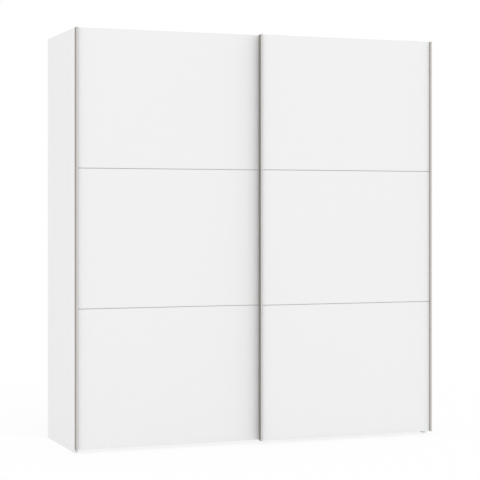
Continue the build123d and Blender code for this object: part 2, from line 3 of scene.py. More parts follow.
import bmesh
import bpy
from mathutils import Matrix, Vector


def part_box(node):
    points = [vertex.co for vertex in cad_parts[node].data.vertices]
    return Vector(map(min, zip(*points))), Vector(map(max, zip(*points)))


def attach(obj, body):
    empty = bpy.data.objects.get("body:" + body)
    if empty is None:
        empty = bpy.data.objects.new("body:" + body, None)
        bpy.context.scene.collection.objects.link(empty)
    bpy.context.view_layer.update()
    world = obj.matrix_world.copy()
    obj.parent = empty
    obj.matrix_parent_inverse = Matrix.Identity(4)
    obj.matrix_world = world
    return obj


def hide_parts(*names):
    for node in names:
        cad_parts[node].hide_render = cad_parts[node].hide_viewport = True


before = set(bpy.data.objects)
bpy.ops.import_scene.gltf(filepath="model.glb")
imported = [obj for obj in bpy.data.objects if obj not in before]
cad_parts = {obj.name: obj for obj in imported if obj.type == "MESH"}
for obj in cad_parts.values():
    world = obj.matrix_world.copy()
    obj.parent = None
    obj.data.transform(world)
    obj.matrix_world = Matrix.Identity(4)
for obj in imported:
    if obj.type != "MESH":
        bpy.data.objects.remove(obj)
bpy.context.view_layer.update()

# Carcass boards
# The sides, the top and bottom panels and the partition are 16 mm particle board faced with white melamine.
# They are sawn to size, with plastic edging glued on the front edges and the rear edges left raw.
BOARD_WHITE = (0.86, 0.86, 0.86, 1)
FACE_ROUGHNESS = (0.40, 0.48)
EDGING_ROUGHNESS = (0.30, 0.34)
MELAMINE_GLOSS = 0.25
PEEL_SIZE = 0.0012
PEEL_RELIEF = 0.000012
CLOUD_SIZE = 0.7
CLOUD_SHADE = 0.992
CHIP_DARK = (0.33, 0.21, 0.12, 1)
CHIP_LIGHT = (0.66, 0.50, 0.33, 1)
CHIP_ROUGHNESS = 0.9
CHIP_SIZE = 0.0026
CHIP_DUST = CHIP_SIZE / 4
CHIP_RELIEF = 0.00025
GRAIN_RANGE = (0.3, 0.7)  # nearly all the values of a grain lie between these
FACING_COSINE = 0.9  # a surface looks along a direction if it is turned from it by less than about 26 degrees
FRONTWARDS = (0, -1, 0)
BACKWARDS = (0, 1, 0)


def feed(finish, node, inputs):
    """Set sockets of a node to plain values, or link them to other nodes' outputs."""
    for socket, value in inputs.items():
        if isinstance(value, bpy.types.NodeSocket):
            finish.node_tree.links.new(value, node.inputs[socket])
        else:
            node.inputs[socket].default_value = value


def add_node(finish, kind, inputs, output=0, **settings):
    """Add a node to a finish and return one of its outputs."""
    node = finish.node_tree.nodes.new("ShaderNode" + kind)
    for setting, value in settings.items():
        setattr(node, setting, value)
    feed(finish, node, inputs)
    return node.outputs[output]


def new_finish(name):
    """A finish that still has its plain shader."""
    finish = bpy.data.materials.new(name)
    finish.use_nodes = True
    return finish


def coat(finish, inputs):
    """Set the sockets of a finish's own shader."""
    feed(finish, finish.node_tree.nodes["Principled BSDF"], inputs)


def place_on(finish, squeeze=(1, 1, 1)):
    """Position on the piece in metres, multiplied along each axis."""
    spot = add_node(finish, "TexCoord", {}, "Object")
    return add_node(finish, "Mapping", {"Vector": spot, "Scale": squeeze})


def grain(finish, place, size, detail=2.0):
    """Soft random grain of a size in metres."""
    return add_node(finish, "TexNoise", {"Vector": place, "Scale": 1 / size, "Detail": detail})


def spread(finish, pattern, low, high):
    """Turn a grain into numbers between two values."""
    least, most = GRAIN_RANGE
    limits = {"Value": pattern, "From Min": least, "From Max": most, "To Min": low, "To Max": high}
    return add_node(finish, "MapRange", limits)


def tint(finish, share, first, second):
    """Blend two colours. Sockets of a Mix node share their names, so they are given by number."""
    return add_node(finish, "Mix", {0: share, 6: first, 7: second}, 2, data_type="RGBA")


def between(finish, share, first, second):
    """Blend two numbers, as tint blends two colours."""
    return add_node(finish, "Mix", {0: share, 2: first, 3: second}, 0, data_type="FLOAT")


def relief(finish, height):
    """Bump from a height in metres."""
    return add_node(finish, "Bump", {"Height": height, "Distance": 1.0})


def facing(finish, way):
    """1 where the surface looks along a direction, otherwise 0."""
    normal = add_node(finish, "NewGeometry", {}, "True Normal")
    along = add_node(finish, "VectorMath", {0: normal, 1: way}, "Value", operation="DOT_PRODUCT")
    return add_node(finish, "Math", {0: along, 1: FACING_COSINE}, operation="GREATER_THAN")


def shaded(colour, share):
    """A colour made darker, or lighter by a share over 1."""
    return (*(share * part for part in colour[:3]), 1)


def melamine_skin(finish, white):
    """The faintly clouded white of a melamine face, its clouds and its fine peel."""
    place = place_on(finish)
    clouds = grain(finish, place, CLOUD_SIZE)
    peel = grain(finish, place, PEEL_SIZE)
    return tint(finish, clouds, shaded(white, CLOUD_SHADE), white), clouds, peel


def board(name, edged_way, raw_way):
    """White melamine board, with edging on the edges that look one way and raw chips on those of another."""
    finish = new_finish(name)
    white, clouds, peel = melamine_skin(finish, BOARD_WHITE)
    place = place_on(finish)
    cells = add_node(finish, "TexVoronoi", {"Vector": place, "Scale": 1 / CHIP_SIZE}, "Color")
    dust = grain(finish, place, CHIP_DUST)
    chips = tint(finish, cells, CHIP_DARK, CHIP_LIGHT)
    edging = facing(finish, edged_way)
    raw = facing(finish, raw_way)
    face_roughness = spread(finish, peel, *FACE_ROUGHNESS)
    edging_roughness = spread(finish, clouds, *EDGING_ROUGHNESS)
    smooth = between(finish, edging, face_roughness, edging_roughness)
    peel_height = spread(finish, peel, 0.0, PEEL_RELIEF)
    chip_height = spread(finish, dust, 0.0, CHIP_RELIEF)
    coat(
        finish,
        {
            "Base Color": tint(finish, raw, white, chips),
            "Roughness": between(finish, raw, smooth, CHIP_ROUGHNESS),
            "Specular IOR Level": MELAMINE_GLOSS,
            "Normal": relief(finish, between(finish, raw, peel_height, chip_height)),
        },
    )
    return finish


def dress(finish, *names):
    """Give CAD nodes a finish."""
    for name in names:
        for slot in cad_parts[name].material_slots:
            slot.material = finish


carcass_melamine = board("carcass_melamine", FRONTWARDS, BACKWARDS)
dress(carcass_melamine, "left_side_panel", "right_side_panel", "centre_partition")
dress(carcass_melamine, "top_panel", "bottom_panel")

# Base
# Two plinth boards and a short bearer of the same board, edged below, stand between the sides and carry the
# bottom panel. Six moulded plastic glides, nailed under the sides and the bearer, stand on the floor.
GLIDE_GREY = (0.62, 0.62, 0.61, 1)
GLIDE_ROUGHNESS = (0.44, 0.56)
GLIDE_EDGE = 0.0006
GLIDE_SIDES = 32
NAIL_DIMPLE = 0.0016
SPARK_SIZE = 0.0004
SPARK_RELIEF = 0.000016
FLOW_SIZE = 0.02
FLOW_SHADE = 0.94
SAME_POINT = 1e-6
SMOOTH_ANGLE = math.radians(32)
UPWARDS = (0, 0, 1)
DOWNWARDS = (0, 0, -1)


def moulded(name, colour, roughness):
    """Moulded plastic with a fine spark texture and faint flow marks."""
    finish = new_finish(name)
    place = place_on(finish)
    spark = grain(finish, place, SPARK_SIZE)
    flow = grain(finish, place, FLOW_SIZE)
    coat(
        finish,
        {
            "Base Color": tint(finish, flow, shaded(colour, FLOW_SHADE), colour),
            "Roughness": spread(finish, spark, *roughness),
            "Normal": relief(finish, spread(finish, spark, 0.0, SPARK_RELIEF)),
        },
    )
    return finish


def solids_in(node):
    """The lowest and highest corner of each separate solid in a node."""
    form = bmesh.new()
    form.from_mesh(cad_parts[node].data)
    bmesh.ops.remove_doubles(form, verts=form.verts, dist=SAME_POINT)
    boxes = []
    for start in form.verts:
        if start.tag:
            continue
        start.tag = True
        waiting = [start]
        corners = []
        while waiting:
            vertex = waiting.pop()
            corners.append(vertex.co.copy())
            for edge in vertex.link_edges:
                other = edge.other_vert(vertex)
                if not other.tag:
                    other.tag = True
                    waiting.append(other)
        low = Vector(min(corner[axis] for corner in corners) for axis in range(3))
        high = Vector(max(corner[axis] for corner in corners) for axis in range(3))
        boxes.append((low, high))
    form.free()
    return boxes


def turn(form, centre, axis, outline, sides):
    """Add a turned form from (distance along the axis, radius) points.

    In place of a radius there may be a star, the radii of a run of spokes that repeats round the axis.
    """
    aim = Vector(axis).to_track_quat("Z", "Y")
    rings = []
    for along, radius in outline:
        star = radius if isinstance(radius, tuple) else (radius,)
        spokes = 1 if star == (0,) else sides
        ring = []
        for spoke in range(spokes):
            angle = 2 * math.pi * spoke / sides
            reach = star[spoke % len(star)]
            spot = Vector((reach * math.cos(angle), reach * math.sin(angle), along))
            ring.append(form.verts.new(Vector(centre) + aim @ spot))
        rings.append(ring)
    for ring, following in zip(rings, rings[1:]):
        for spoke in range(sides):
            after = spoke + 1
            corners = [ring[spoke % len(ring)], ring[after % len(ring)]]
            corners += [following[after % len(following)], following[spoke % len(following)]]
            form.faces.new(list(dict.fromkeys(corners)))


def new_piece(name, form, finish, slot, body, *stands_for):
    """Turn a built form into a piece that rides on a body, in place of CAD nodes if any are named."""
    bmesh.ops.remove_doubles(form, verts=form.verts, dist=SAME_POINT)
    bmesh.ops.recalc_face_normals(form, faces=form.faces)
    mesh = bpy.data.meshes.new(name)
    form.to_mesh(mesh)
    form.free()
    mesh.shade_smooth()
    mesh.set_sharp_from_angle(angle=SMOOTH_ANGLE)
    mesh.materials.append(finish)
    piece = bpy.data.objects.new(name, mesh)
    bpy.context.scene.collection.objects.link(piece)
    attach(piece, body)
    if stands_for:
        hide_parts(*stands_for)


base_melamine = board("base_melamine", DOWNWARDS, UPWARDS)
dress(base_melamine, "plinth_front", "plinth_rear", "base_bearer")

glides = bmesh.new()
for low, high in solids_in("floor_glides"):
    middle = (low + high) / 2
    radius = (high.x - low.x) / 2
    tall = high.z - low.z
    outline = [
        (GLIDE_EDGE, 0),
        (GLIDE_EDGE, NAIL_DIMPLE - GLIDE_EDGE),
        (0, NAIL_DIMPLE),
        (0, radius - 2 * GLIDE_EDGE),
        (GLIDE_EDGE, radius - GLIDE_EDGE),
        (tall, radius),
        (tall, 0),
    ]
    turn(glides, (middle.x, middle.y, low.z), UPWARDS, outline, GLIDE_SIDES)
glide_plastic = moulded("glide_plastic", GLIDE_GREY, GLIDE_ROUGHNESS)
new_piece("floor_glides_turned", glides, glide_plastic, "glide_plastic", "carcass", "floor_glides")

# Back
# Two sheets of 3 mm hardboard, lacquered white inside and raw brown outside with the mark of the press
# screen, slide into grooves in the sides. A white plastic H strip joins them, and small zinc-plated nails
# hold them to the top and bottom panels.
LACQUER_WHITE = (0.84, 0.84, 0.83, 1)
LACQUER_ROUGHNESS = (0.45, 0.55)
LACQUER_CLOUD_SIZE = 0.3
LACQUER_SHADE = 0.985
HARDBOARD_BROWN = (0.25, 0.155, 0.085, 1)
HARDBOARD_ROUGHNESS = 0.85
PATCH_SIZE = 0.22
PATCH_DETAIL = 6.0
PATCH_DARK = 0.84
PATCH_LIGHT = 1.16
FIBRE_BROWN = (0.36, 0.235, 0.135, 1)
FIBRE_SHARE = 0.8
FIBRE_SIZE = 0.004
FIBRE_DETAIL = 4.0
FIBRE_SQUEEZE = (1, 1, 0.35)
SCREEN_PITCH = 0.0014
SCREEN_RELIEF = 0.00009
SCREEN_SHADE = 0.8
SCREEN_WANDER = 0.6
SCREEN_DETAIL = 1.0
WAVE_FACTOR = 20  # a wave texture multiplies its scale by this
STRIP_WHITE = (0.82, 0.82, 0.815, 1)
STRIP_ROUGHNESS = (0.36, 0.48)
ZINC_BRIGHT = (0.60, 0.615, 0.635, 1)
ZINC_ROUGHNESS = (0.27, 0.41)
MOTTLE_SIZE = 0.006
MOTTLE_DETAIL = 3.0
ZINC_SHADE = 0.86
ROLLED_SIZE = 0.0004
ROLLED_RELIEF = 0.000004
ROLLED_SQUEEZE = (0.05, 1, 1)
NAIL_PITCH = 0.14
NAIL_RADIUS = 0.0017
NAIL_RISE = 0.0006
NAIL_SIDES = 12
NAIL_HEAD = [
    (0, 0),
    (0, NAIL_RADIUS),
    (NAIL_RISE / 2, NAIL_RADIUS),
    (NAIL_RISE, NAIL_RADIUS / 2),
    (NAIL_RISE, 0),
]


def press_screen(finish, place):
    """The crossed ribs that the press screen leaves."""
    scale = 2 * math.pi / (WAVE_FACTOR * SCREEN_PITCH)
    inputs = {"Vector": place, "Scale": scale, "Distortion": SCREEN_WANDER, "Detail": SCREEN_DETAIL}
    across = add_node(finish, "TexWave", inputs, "Fac", bands_direction="X")
    upright = add_node(finish, "TexWave", inputs, "Fac", bands_direction="Z")
    return add_node(finish, "Math", {0: across, 1: upright}, operation="MULTIPLY")


def hardboard():
    """Hardboard, lacquered on the inside and raw elsewhere."""
    finish = new_finish("hardboard_sheet")
    place = place_on(finish)
    inside = facing(finish, FRONTWARDS)
    fibre = grain(finish, place_on(finish, FIBRE_SQUEEZE), FIBRE_SIZE, FIBRE_DETAIL)
    patches = spread(finish, grain(finish, place, PATCH_SIZE, PATCH_DETAIL), 0.0, 1.0)
    screen = press_screen(finish, place)
    dark_patch = shaded(HARDBOARD_BROWN, PATCH_DARK)
    light_patch = shaded(HARDBOARD_BROWN, PATCH_LIGHT)
    sheet = tint(finish, patches, dark_patch, light_patch)
    fibred = tint(finish, spread(finish, fibre, 0.0, FIBRE_SHARE), sheet, FIBRE_BROWN)
    pressed = tint(finish, screen, shaded(HARDBOARD_BROWN, SCREEN_SHADE), fibred)
    clouds = grain(finish, place, LACQUER_CLOUD_SIZE)
    lacquer = tint(finish, clouds, shaded(LACQUER_WHITE, LACQUER_SHADE), LACQUER_WHITE)
    lacquer_roughness = spread(finish, fibre, *LACQUER_ROUGHNESS)
    lacquer_height = spread(finish, fibre, 0.0, PEEL_RELIEF)
    screen_height = spread(finish, screen, 0.0, SCREEN_RELIEF)
    coat(
        finish,
        {
            "Base Color": tint(finish, inside, pressed, lacquer),
            "Roughness": between(finish, inside, HARDBOARD_ROUGHNESS, lacquer_roughness),
            "Normal": relief(finish, between(finish, inside, screen_height, lacquer_height)),
        },
    )
    return finish


def zinc_plating():
    """Zinc-plated steel, a cool bright metal with a faint mottle and fine rolling marks."""
    finish = new_finish("zinc_plated")
    mottle = grain(finish, place_on(finish), MOTTLE_SIZE, MOTTLE_DETAIL)
    rolled = grain(finish, place_on(finish, ROLLED_SQUEEZE), ROLLED_SIZE)
    coat(
        finish,
        {
            "Base Color": tint(finish, mottle, shaded(ZINC_BRIGHT, ZINC_SHADE), ZINC_BRIGHT),
            "Metallic": 1.0,
            "Roughness": spread(finish, mottle, *ZINC_ROUGHNESS),
            "Normal": relief(finish, spread(finish, rolled, 0.0, ROLLED_RELIEF)),
        },
    )
    return finish


def row(low, high, pitch):
    """Places along the length of a piece, evenly spaced, from its lowest and highest corners."""
    length = high.x - low.x
    count = round(length / pitch)
    return [low.x + (index + 0.5) * length / count for index in range(count)]


dress(hardboard(), "back_board_left", "back_board_right")
dress(moulded("strip_plastic", STRIP_WHITE, STRIP_ROUGHNESS), "back_joint_strip")

zinc_plated = zinc_plating()
back_nails = bmesh.new()
for sheet in ("back_board_left", "back_board_right"):
    low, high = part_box(sheet)
    for panel in ("top_panel", "bottom_panel"):
        level = sum(corner.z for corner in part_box(panel)) / 2
        for x in row(low, high, NAIL_PITCH):
            turn(back_nails, (x, high.y, level), BACKWARDS, NAIL_HEAD, NAIL_SIDES)
new_piece("back_nails", back_nails, zinc_plated, "bright_steel", "carcass")

# Cam fittings
# A steel bolt in one board is drawn in by a zinc die-cast cam in the end of the next. The cams sit in bores
# in the undersides of the panels and in both faces of the partition. A thin ridge covers the rim of each
# bore, and a cross recess takes the screwdriver.
CAST_GREY = (0.42, 0.425, 0.44, 1)
CAST_METAL = 0.9
CAST_ROUGHNESS = (0.42, 0.6)
CAST_SKIN_SIZE = 0.0015
CAST_DETAIL = 4.0
CAST_SHADE = 0.8
CAST_RELIEF = 0.00003
CAM_RIDGE = 0.0008
CAM_RIM = 0.0011
CAM_BREAK = 0.0003
CAM_DISH = 0.0005
CAM_CROSS_DEPTH = 0.0035
CAM_CROSS_MOUTH = 1.4  # the cross at its mouth and floor, over that in a screw head of the cam's radius
CAM_CROSS_FLOOR = 1.2
CROSS_REACH = 0.5  # a cross's arms and their half width, over the radius of its head
CROSS_HALF_WIDTH = 0.1
HEAD_SIDES = 32
BORE_SIDES = 8
BORE_FLAT = math.cos(math.pi / BORE_SIDES)  # a bore's radius to its flats, over that to its corners
LEFTWARDS = (-1, 0, 0)
RIGHTWARDS = (1, 0, 0)


def cross(radius):
    """The radii of a cross recess in a head of that radius, for a quarter turn."""
    star = [radius * CROSS_REACH]
    for spoke in range(1, HEAD_SIDES // 4):
        angle = 2 * math.pi * spoke / HEAD_SIDES
        lean = min(angle, math.pi / 2 - angle)
        star.append(radius * min(CROSS_REACH / math.cos(lean), CROSS_HALF_WIDTH / math.sin(lean)))
    return tuple(star)


def die_cast():
    """Die-cast zinc with a dull skin and small flow marks."""
    finish = new_finish("cast_zinc")
    skin = grain(finish, place_on(finish), CAST_SKIN_SIZE, CAST_DETAIL)
    coat(
        finish,
        {
            "Base Color": tint(finish, skin, shaded(CAST_GREY, CAST_SHADE), CAST_GREY),
            "Metallic": CAST_METAL,
            "Roughness": spread(finish, skin, *CAST_ROUGHNESS),
            "Normal": relief(finish, spread(finish, skin, 0.0, CAST_RELIEF)),
        },
    )
    return finish


cams = bmesh.new()
for low, high in solids_in("cam_locks"):
    middle = (low + high) / 2
    size = high - low
    if size.z < size.x:
        axis = DOWNWARDS
        face = size.z / 2
    else:
        axis = LEFTWARDS if middle.x < 0 else RIGHTWARDS
        face = size.x / 2
    radius = BORE_FLAT * size.y / 2
    ridge = size.y / 2 + CAM_RIDGE
    dish = face + CAM_BREAK - CAM_DISH
    cross_floor = dish - CAM_CROSS_DEPTH
    outline = [
        (-face, 0),
        (-face, radius),
        (face, radius),
        (face, ridge),
        (face + CAM_BREAK, ridge - CAM_BREAK),
        (face + CAM_BREAK, ridge - CAM_RIM),
        (dish, ridge - CAM_RIM - CAM_BREAK),
        (dish, cross(CAM_CROSS_MOUTH * radius)),
        (cross_floor, cross(CAM_CROSS_FLOOR * radius)),
        (cross_floor - CAM_DISH, 0),
    ]
    turn(cams, middle, axis, outline, HEAD_SIDES)
new_piece("cam_locks_cast", cams, die_cast(), "cast_zinc", "carcass", "cam_locks")
dress(zinc_plated, "cam_bolts")

# Hat shelves
# One melamine shelf in each half lies loose on four pins of turned steel, which are pushed into holes in the
# side panel and the partition.
STEEL_BRIGHT = (0.64, 0.64, 0.65, 1)
STEEL_ROUGHNESS = (0.2, 0.32)
STEEL_SHADE = 0.92
LATHE_MARK_SIZE = 0.0012
LATHE_SQUEEZE = (1, 4, 1)
PIN_TIP = 0.0006
PIN_SIDES = 24


def turned_steel():
    """Bright steel from the lathe."""
    finish = new_finish("bright_steel")
    cut = grain(finish, place_on(finish, LATHE_SQUEEZE), LATHE_MARK_SIZE)
    coat(
        finish,
        {
            "Base Color": tint(finish, cut, shaded(STEEL_BRIGHT, STEEL_SHADE), STEEL_BRIGHT),
            "Metallic": 1.0,
            "Roughness": spread(finish, cut, *STEEL_ROUGHNESS),
        },
    )
    return finish


dress(carcass_melamine, "left_hat_shelf", "right_hat_shelf")
bright_steel = turned_steel()
pins = bmesh.new()
for low, high in solids_in("shelf_pins"):
    middle = (low + high) / 2
    half = (high.x - low.x) / 2
    radius = (high.z - low.z) / 2
    outline = [(-half, 0), (-half, radius - PIN_TIP), (PIN_TIP - half, radius)]
    outline += [(-along, reach) for along, reach in reversed(outline)]
    turn(pins, middle, RIGHTWARDS, outline, PIN_SIDES)
new_piece("shelf_pins_turned", pins, bright_steel, "bright_steel", "carcass", "shelf_pins")

# Clothes rails
# An oval tube of chromed steel hangs under each shelf, with its ends dropped into chromed cradles. Each
# cradle has a square flange, held to the board by two cross-head screws.
CHROME = (0.74, 0.745, 0.755, 1)
CHROME_ROUGHNESS = (0.05, 0.13)
CHROME_SHADE = 0.97
SMEAR_SIZE = 0.02
SMEAR_DETAIL = 4.0
SMEAR_SQUEEZE = (0.2, 1, 1)
SOCKET_FLANGE = 0.0025
SOCKET_SCREW_RADIUS = 0.0026
SOCKET_SCREW_RISE = 0.0014
SOCKET_SCREW_INSET = 0.0032
HEAD_WALL = 0.5  # levels of a domed head, over its rise
HEAD_SHOULDER = 0.88
RECESS_FLOOR = 0.25
RECESS_TIP = 0.2
HEAD_SHOULDER_RADIUS = 0.8  # radii of a domed head, over its own radius
HEAD_CROWN_RADIUS = 0.6
RECESS_FLOOR_RADIUS = 0.8


def chromed():
    """Polished chrome with faint smears."""
    finish = new_finish("rail_chrome")
    smear = grain(finish, place_on(finish, SMEAR_SQUEEZE), SMEAR_SIZE, SMEAR_DETAIL)
    coat(
        finish,
        {
            "Base Color": tint(finish, smear, shaded(CHROME, CHROME_SHADE), CHROME),
            "Metallic": 1.0,
            "Roughness": spread(finish, smear, *CHROME_ROUGHNESS),
        },
    )
    return finish


def screw_head(form, seat, axis, radius, rise):
    """Add a domed screw head with a cross recess, standing on its seat."""
    outline = [
        (0, 0),
        (0, radius),
        (HEAD_WALL * rise, radius),
        (HEAD_SHOULDER * rise, HEAD_SHOULDER_RADIUS * radius),
        (rise, HEAD_CROWN_RADIUS * radius),
        (rise, cross(radius)),
        (RECESS_FLOOR * rise, cross(RECESS_FLOOR_RADIUS * radius)),
        (RECESS_TIP * rise, 0),
    ]
    turn(form, seat, axis, outline, HEAD_SIDES)


dress(chromed(), "left_clothes_rail", "right_clothes_rail", "rail_sockets")
left_hand_faces = [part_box(name)[1].x for name in ("left_side_panel", "centre_partition")]
socket_screws = bmesh.new()
for low, high in solids_in("rail_sockets"):
    middle = (low + high) / 2
    if any(abs(low.x - face) < SOCKET_FLANGE for face in left_hand_faces):
        way = RIGHTWARDS
        flange = low.x + SOCKET_FLANGE
    else:
        way = LEFTWARDS
        flange = high.x - SOCKET_FLANGE
    for level in (low.z + SOCKET_SCREW_INSET, high.z - SOCKET_SCREW_INSET):
        screw_head(socket_screws, (flange, middle.y, level), way, SOCKET_SCREW_RADIUS, SOCKET_SCREW_RISE)
new_piece("socket_screws", socket_screws, zinc_plated, "bright_steel", "carcass")

# Top track
# A two-lane aluminium extrusion in mill finish lies along the front of the top panel, held by screws between
# its lanes. Rubber blocks at the ends of the lanes stop the rollers.
MILL_GREY = (0.60, 0.605, 0.615, 1)
SAWN_GREY = (0.68, 0.685, 0.69, 1)
MILL_ROUGHNESS = (0.30, 0.42)
DIE_LINE_SIZE = 0.0007
DIE_DETAIL = 3.0
DIE_SQUEEZE = 0.004  # along the profile, which draws the die lines out
DIE_RELIEF = 0.000005
BLOOM_SIZE = 0.09
BLOOM_SHADE = 0.96
# The second colour begins and is full at these turns of a face to the side; on the grips it is painted shade.
FLANK_LEAST = 0.3  # how far a face is turned to the side where its flank colour begins, and where it is full
FLANK_FULL = 0.8
TRACK_WALL = 0.002
TRACK_SCREW_RADIUS = 0.0036
TRACK_SCREW_RISE = 0.0022
TRACK_SCREW_PITCH = 0.32
RUBBER_BLACK = (0.022, 0.022, 0.023, 1)
RUBBER_ROUGHNESS = (0.68, 0.85)
RUBBER_BLOOM_SIZE = 0.01
RUBBER_BLOOM_LIGHT = 1.7
PORE_SIZE = 0.0008
PORE_DETAIL = 3.0
PORE_RELIEF = 0.00003
STOP_ROUND = 0.0016
ROUND_SEGMENTS = 3


def extruded(name, colour, side_colour_and_painted_shade, roughness, length_axis):
    """Extruded aluminium with die lines along its length. Faces turned sideways get a second colour: the own
    grey of sawn ends on rails, painted shade on the sides of grips.
    """
    squeeze = [DIE_SQUEEZE if axis == length_axis else 1 for axis in "xyz"]
    finish = new_finish(name)
    lines = grain(finish, place_on(finish, squeeze), DIE_LINE_SIZE, DIE_DETAIL)
    bloom = grain(finish, place_on(finish), BLOOM_SIZE)
    front = tint(finish, bloom, shaded(colour, BLOOM_SHADE), colour)
    normal = add_node(finish, "NewGeometry", {}, "Normal")
    across = add_node(finish, "SeparateXYZ", {"Vector": normal}, "X")
    sideways = add_node(finish, "Math", {0: across}, operation="ABSOLUTE")
    limits = {"Value": sideways, "From Min": FLANK_LEAST, "From Max": FLANK_FULL}
    side_and_shade_mask = add_node(finish, "MapRange", limits)
    coat(
        finish,
        {
            # Faces turned sideways take the second colour, which on the grips is painted shade.
            "Base Color": tint(finish, side_and_shade_mask, front, side_colour_and_painted_shade),
            "Metallic": 1.0,
            "Roughness": spread(finish, lines, *roughness),
            "Normal": relief(finish, spread(finish, lines, 0.0, DIE_RELIEF)),
        },
    )
    return finish


def rubber():
    """Black rubber with fine pores and a faint grey bloom."""
    finish = new_finish("buffer_rubber")
    pores = grain(finish, place_on(finish), PORE_SIZE, PORE_DETAIL)
    bloom = grain(finish, place_on(finish), RUBBER_BLOOM_SIZE)
    coat(
        finish,
        {
            "Base Color": tint(finish, bloom, RUBBER_BLACK, shaded(RUBBER_BLACK, RUBBER_BLOOM_LIGHT)),
            "Roughness": spread(finish, pores, *RUBBER_ROUGHNESS),
            "Normal": relief(finish, spread(finish, pores, 0.0, PORE_RELIEF)),
        },
    )
    return finish


def rounded_block(form, low, high, radius):
    """Add a block with all its edges rounded."""
    made = bmesh.ops.create_cube(form, size=1.0)
    for vertex in made["verts"]:
        share = vertex.co + Vector((0.5, 0.5, 0.5))
        vertex.co = Vector(low[axis] + share[axis] * (high[axis] - low[axis]) for axis in range(3))
    edges = list({edge for vertex in made["verts"] for edge in vertex.link_edges})
    bmesh.ops.bevel(form, geom=edges, offset=radius, segments=ROUND_SEGMENTS, profile=0.5, affect="EDGES")


def screw_row(form, low, high, seat, axis, rise):
    """Add a row of screw heads along the middle of a rail, from its corners and the level of their seat."""
    middle = (low.y + high.y) / 2
    for x in row(low, high, TRACK_SCREW_PITCH):
        screw_head(form, (x, middle, seat), axis, TRACK_SCREW_RADIUS, rise)


mill_aluminium = extruded("mill_aluminium", MILL_GREY, SAWN_GREY, MILL_ROUGHNESS, "x")
dress(mill_aluminium, "top_track")
low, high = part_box("top_track")
track_screws = bmesh.new()
screw_row(track_screws, low, high, low.z + TRACK_WALL, UPWARDS, TRACK_SCREW_RISE)
new_piece("track_screws", track_screws, zinc_plated, "bright_steel", "carcass")

stops = bmesh.new()
for low, high in solids_in("track_stops"):
    rounded_block(stops, low, high, STOP_ROUND)
new_piece("track_stops_rounded", stops, rubber(), "buffer_rubber", "carcass", "track_stops")

# Guide rail
# A second two-lane extrusion, open downwards, is screwed under the front of the bottom panel and keeps the
# feet of the doors in line.
GUIDE_WALL = 0.002
GUIDE_SCREW_RISE = 0.002

dress(mill_aluminium, "guide_rail")
low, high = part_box("guide_rail")
guide_screws = bmesh.new()
screw_row(guide_screws, low, high, high.z - GUIDE_WALL, DOWNWARDS, GUIDE_SCREW_RISE)
new_piece("guide_rail_screws", guide_screws, zinc_plated, "bright_steel", "carcass")

# Wall brackets
# Two angles of zinc-plated steel strip are screwed to the top panel, and have a hole each for a screw into
# the wall.
BRACKET_STEEL = 0.002
BRACKET_SCREW_STEPS = (0.010, 0.028)

dress(zinc_plated, "wall_brackets")
bracket_screws = bmesh.new()
for low, high in solids_in("wall_brackets"):
    for step in BRACKET_SCREW_STEPS:
        seat = ((low.x + high.x) / 2, low.y + step, low.z + BRACKET_STEEL)
        screw_head(bracket_screws, seat, UPWARDS, TRACK_SCREW_RADIUS, TRACK_SCREW_RISE)
new_piece("bracket_screws", bracket_screws, zinc_plated, "bright_steel", "carcass")

# Door panels
# Each door is three white melamine panels one above the other, with all edges edged. A plastic strip with
# tongues joins two panels and makes the shadow groove between them; its mid grey is painted shade.
DOOR_WHITE = (0.885, 0.885, 0.885, 1)
DOOR_ROUGHNESS = (0.36, 0.44)
# The joint strip's mid grey is painted shade at the bottom of the groove between the panels.
GROOVE_PAINTED_SHADE = (0.42, 0.42, 0.42, 1)
GROOVE_ROUGHNESS = (0.44, 0.56)
DOORS = ("left_door", "right_door")


def door_board():
    """White melamine with a fine peel on every side."""
    finish = new_finish("door_melamine")
    white, _, peel = melamine_skin(finish, DOOR_WHITE)
    coat(
        finish,
        {
            "Base Color": white,
            "Roughness": spread(finish, peel, *DOOR_ROUGHNESS),
            "Specular IOR Level": MELAMINE_GLOSS,
            "Normal": relief(finish, spread(finish, peel, 0.0, PEEL_RELIEF)),
        },
    )
    return finish


door_melamine = door_board()
groove_plastic = moulded("groove_plastic", GROOVE_PAINTED_SHADE, GROOVE_ROUGHNESS)
for door in DOORS:
    dress(door_melamine, f"{door}_panel_lower", f"{door}_panel_middle", f"{door}_panel_upper")
    dress(groove_plastic, f"{door}_joint_strips")

# Grips
# Hollow aluminium extrusions, anodised to a warm satin grey, are pushed onto the upright edges of the doors.
# They stand proud as a lip to pull by, and are closed at both ends by plastic caps.
ANODISED = (0.665, 0.638, 0.604, 1)
# The darker flank colour below is painted shade: it darkens the side faces of the grips for the shade and
# dark reflections that fall there.
ANODISED_PAINTED_SHADE = (0.40, 0.382, 0.356, 1)
ANODISED_ROUGHNESS = (0.28, 0.40)
GRAZING_TINT = (0.64, 0.64, 0.64, 1)
CAP_GREY = (0.36, 0.355, 0.35, 1)
CAP_ROUGHNESS = (0.42, 0.54)

anodised_aluminium = extruded("anodised_aluminium", ANODISED, ANODISED_PAINTED_SHADE, ANODISED_ROUGHNESS, "z")
coat(anodised_aluminium, {"Specular Tint": GRAZING_TINT})
cap_plastic = moulded("cap_plastic", CAP_GREY, CAP_ROUGHNESS)
for door in DOORS:
    dress(anodised_aluminium, f"{door}_grip_left", f"{door}_grip_right")
    dress(cap_plastic, f"{door}_grip_caps")

# Hangers and guide brackets
# Bent from 2 mm zinc-plated strip and held to the backs of the doors by countersunk cross-head screws.
# Those of the outer door reach over and under the inner door.
STRIP_STEEL = 0.002
SHANK_RADIUS = 0.0018
SCREW_BREAK = 0.0002
SCREW_RECESS = 0.0016
SCREW_LAND = 0.7  # radii of a countersunk head's flat land and recess floor, over the head's
SCREW_RECESS_FLOOR = 0.75

